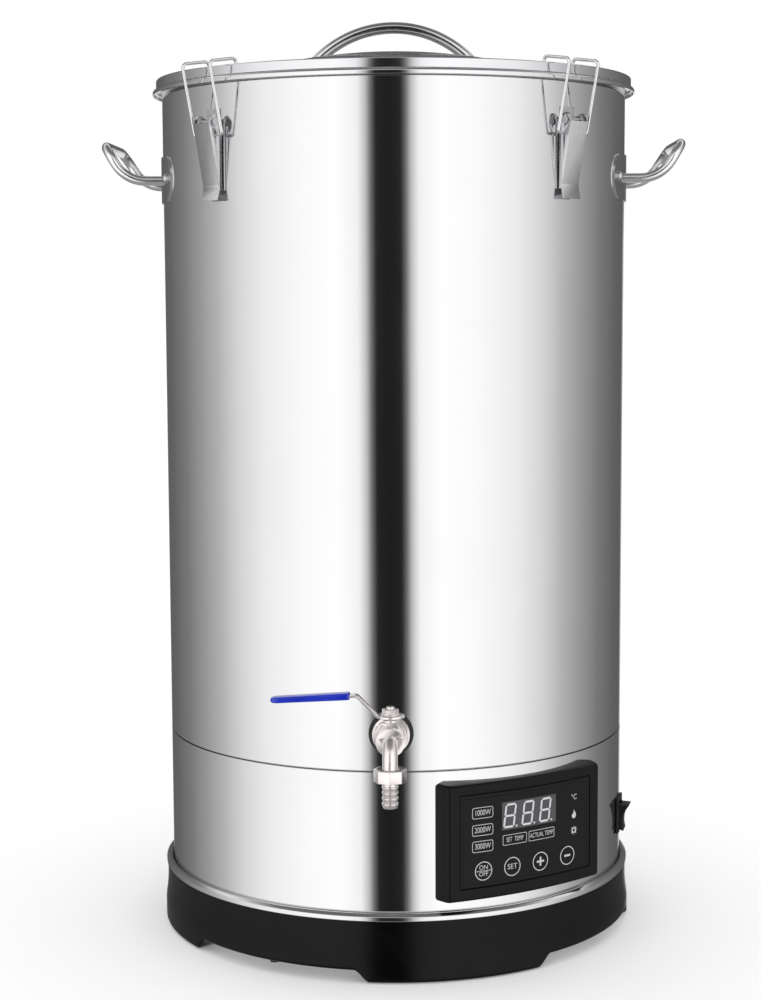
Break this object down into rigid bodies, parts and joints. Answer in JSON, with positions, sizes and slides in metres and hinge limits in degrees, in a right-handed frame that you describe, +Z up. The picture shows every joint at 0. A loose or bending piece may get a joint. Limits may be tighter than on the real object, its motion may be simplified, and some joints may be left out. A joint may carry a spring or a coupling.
{
  "type": "electric all-in-one brewer",
  "caption": "Tall round stainless brewing kettle on a heated base, with draw-off tap, control panel, side handles, clamped lid and lift-out malt pipe.",
  "frame": {"origin": "on the kettle's upright axis, in the plane its feet stand on", "axes": "+Z up, -Y towards the front where the tap is, +X to the right seen from the front"},
  "size_m": [0.4972, 0.467, 0.7871],
  "materials": {
    "mirror_steel": "mirror-polished stainless sheet",
    "brushed_steel": "satin stainless sheet",
    "polished_steel": "polished stainless wire and pressings",
    "cast_steel": "fine-blasted stainless casting",
    "blue_vinyl": "dipped blue vinyl",
    "black_silicone": "matt black rubber",
    "clear_silicone": "translucent white silicone",
    "black_moulding": "glossy black moulding",
    "panel_plastic": "fine-grained black plastic",
    "panel_window": "smoked acrylic over printed legends",
    "galvanised_sheet": "galvanised sheet",
    "heater_tube": "heat-tinted steel tube",
    "spreader_aluminium": "bare aluminium",
    "board": "green circuit board",
    "component_plastic": "moulded electrical parts",
    "plated_brass": "nickel-plated brass",
    "zinc_screw": "zinc-plated steel"
  },
  "bodies": {
    "kettle": {"base_cover_plate": "galvanised_sheet", "base_moulding": "black_moulding", "control_board": "board", "display_module": "component_plastic", "handle_left": "polished_steel", "handle_plates": "polished_steel", "handle_right": "polished_steel", "handle_rivets": "polished_steel", "heat_shield": "galvanised_sheet", "heat_sink": "spreader_aluminium", "heat_spreader_plate": "spreader_aluminium", "heating_element_inner": "heater_tube", "heating_element_outer": "heater_tube", "hose_barb": "cast_steel", "latch_brackets": "polished_steel", "latch_pins": "polished_steel", "lower_skirt": "mirror_steel", "mains_inlet_housing": "panel_plastic", "mains_inlet_pins": "plated_brass", "panel_bezel": "panel_plastic", "panel_window": "panel_window", "power_board": "board", "rocker_frame": "panel_plastic", "rubber_feet": "black_silicone", "screws": "zinc_screw", "skirt_bead_ring": "mirror_steel", "spout_elbow": "cast_steel", "tap_locknut": "cast_steel", "tap_washer": "black_silicone", "temperature_probe": "heater_tube", "terminal_block": "component_plastic", "thermal_cutout": "component_plastic", "union_nut": "cast_steel", "valve_body": "cast_steel", "vessel_floor": "brushed_steel", "vessel_shell": "mirror_steel"},
    "tap_lever": {"valve_lever": "cast_steel", "lever_sleeve": "blue_vinyl", "valve_stem": "cast_steel", "stem_nut": "cast_steel", "valve_ball": "cast_steel"},
    "rocker_key": {"rocker": "panel_plastic"},
    "lid": {"lid_pan": "mirror_steel", "lid_gasket": "clear_silicone", "lid_handle": "polished_steel", "lid_handle_pads": "polished_steel"},
    "malt_pipe": {"malt_pipe_shell": "brushed_steel", "malt_foot_ring": "brushed_steel", "malt_bottom_screen": "brushed_steel", "malt_top_screen": "brushed_steel"},
    "malt_pipe_bail": {"malt_bail": "polished_steel"},
    "latch_lever_front_right_body": {"latch_lever_front_right": "polished_steel"},
    "latch_bail_front_right_body": {"latch_bail_front_right": "polished_steel"},
    "latch_lever_rear_right_body": {"latch_lever_rear_right": "polished_steel"},
    "latch_bail_rear_right_body": {"latch_bail_rear_right": "polished_steel"},
    "latch_lever_rear_left_body": {"latch_lever_rear_left": "polished_steel"},
    "latch_bail_rear_left_body": {"latch_bail_rear_left": "polished_steel"},
    "latch_lever_front_left_body": {"latch_lever_front_left": "polished_steel"},
    "latch_bail_front_left_body": {"latch_bail_front_left": "polished_steel"}
  },
  "joints": [
    {"name": "tap_lever_turn", "type": "hinge", "parent": "kettle", "child": "tap_lever", "pos_m": [0, -0.223, 0.224], "axis": [0, 0, 1], "range_deg": [0, 90]},
    {"name": "lid_lift", "type": "slide", "parent": "kettle", "child": "lid", "axis": [0, 0, 1], "range_m": [0, 0.9]},
    {"name": "malt_pipe_lift", "type": "slide", "parent": "kettle", "child": "malt_pipe", "axis": [0, 0, 1], "range_m": [0, 0.6]},
    {"name": "malt_bail_swing", "type": "hinge", "parent": "malt_pipe", "child": "malt_pipe_bail", "pos_m": [0, 0, 0.699], "axis": [-1, 0, 0], "range_deg": [0, 90.5]},
    {"name": "rocker_tilt", "type": "hinge", "parent": "kettle", "child": "rocker_key", "pos_m": [0.1927, -0.04096, 0.098], "axis": [-0.2079, -0.9781, 0], "range_deg": [0, 24]},
    {"name": "latch_lever_front_right_flip", "type": "hinge", "parent": "kettle", "child": "latch_lever_front_right_body", "pos_m": [0.14672, -0.14672, 0.691], "axis": [-0.7071, -0.7071, 0], "range_deg": [0, 140]},
    {"name": "latch_bail_front_right_swing", "type": "hinge", "parent": "latch_lever_front_right_body", "child": "latch_bail_front_right_body", "pos_m": [0.14566, -0.14566, 0.6805], "axis": [-0.7071, -0.7071, 0], "range_deg": [-140, 0]},
    {"name": "latch_lever_rear_right_flip", "type": "hinge", "parent": "kettle", "child": "latch_lever_rear_right_body", "pos_m": [0.14672, 0.14672, 0.691], "axis": [0.7071, -0.7071, 0], "range_deg": [0, 140]},
    {"name": "latch_bail_rear_right_swing", "type": "hinge", "parent": "latch_lever_rear_right_body", "child": "latch_bail_rear_right_body", "pos_m": [0.14566, 0.14566, 0.6805], "axis": [0.7071, -0.7071, 0], "range_deg": [-140, 0]},
    {"name": "latch_lever_rear_left_flip", "type": "hinge", "parent": "kettle", "child": "latch_lever_rear_left_body", "pos_m": [-0.14672, 0.14672, 0.691], "axis": [0.7071, 0.7071, 0], "range_deg": [0, 140]},
    {"name": "latch_bail_rear_left_swing", "type": "hinge", "parent": "latch_lever_rear_left_body", "child": "latch_bail_rear_left_body", "pos_m": [-0.14566, 0.14566, 0.6805], "axis": [0.7071, 0.7071, 0], "range_deg": [-140, 0]},
    {"name": "latch_lever_front_left_flip", "type": "hinge", "parent": "kettle", "child": "latch_lever_front_left_body", "pos_m": [-0.14672, -0.14672, 0.691], "axis": [-0.7071, 0.7071, 0], "range_deg": [0, 140]},
    {"name": "latch_bail_front_left_swing", "type": "hinge", "parent": "latch_lever_front_left_body", "child": "latch_bail_front_left_body", "pos_m": [-0.14566, -0.14566, 0.6805], "axis": [-0.7071, 0.7071, 0], "range_deg": [-140, 0]}
  ],
  "couplings": [
    {"joint": "malt_pipe_lift", "follows": "lid_lift", "ratio": 0.6},
    {"joint": "malt_bail_swing", "follows": "lid_lift", "rad_per_m": 1.7453},
    {"joint": "latch_bail_front_right_swing", "follows": "latch_lever_front_right_flip", "ratio": -1},
    {"joint": "latch_bail_rear_right_swing", "follows": "latch_lever_rear_right_flip", "ratio": -1},
    {"joint": "latch_bail_rear_left_swing", "follows": "latch_lever_rear_left_flip", "ratio": -1},
    {"joint": "latch_bail_front_left_swing", "follows": "latch_lever_front_left_flip", "ratio": -1}
  ]
}
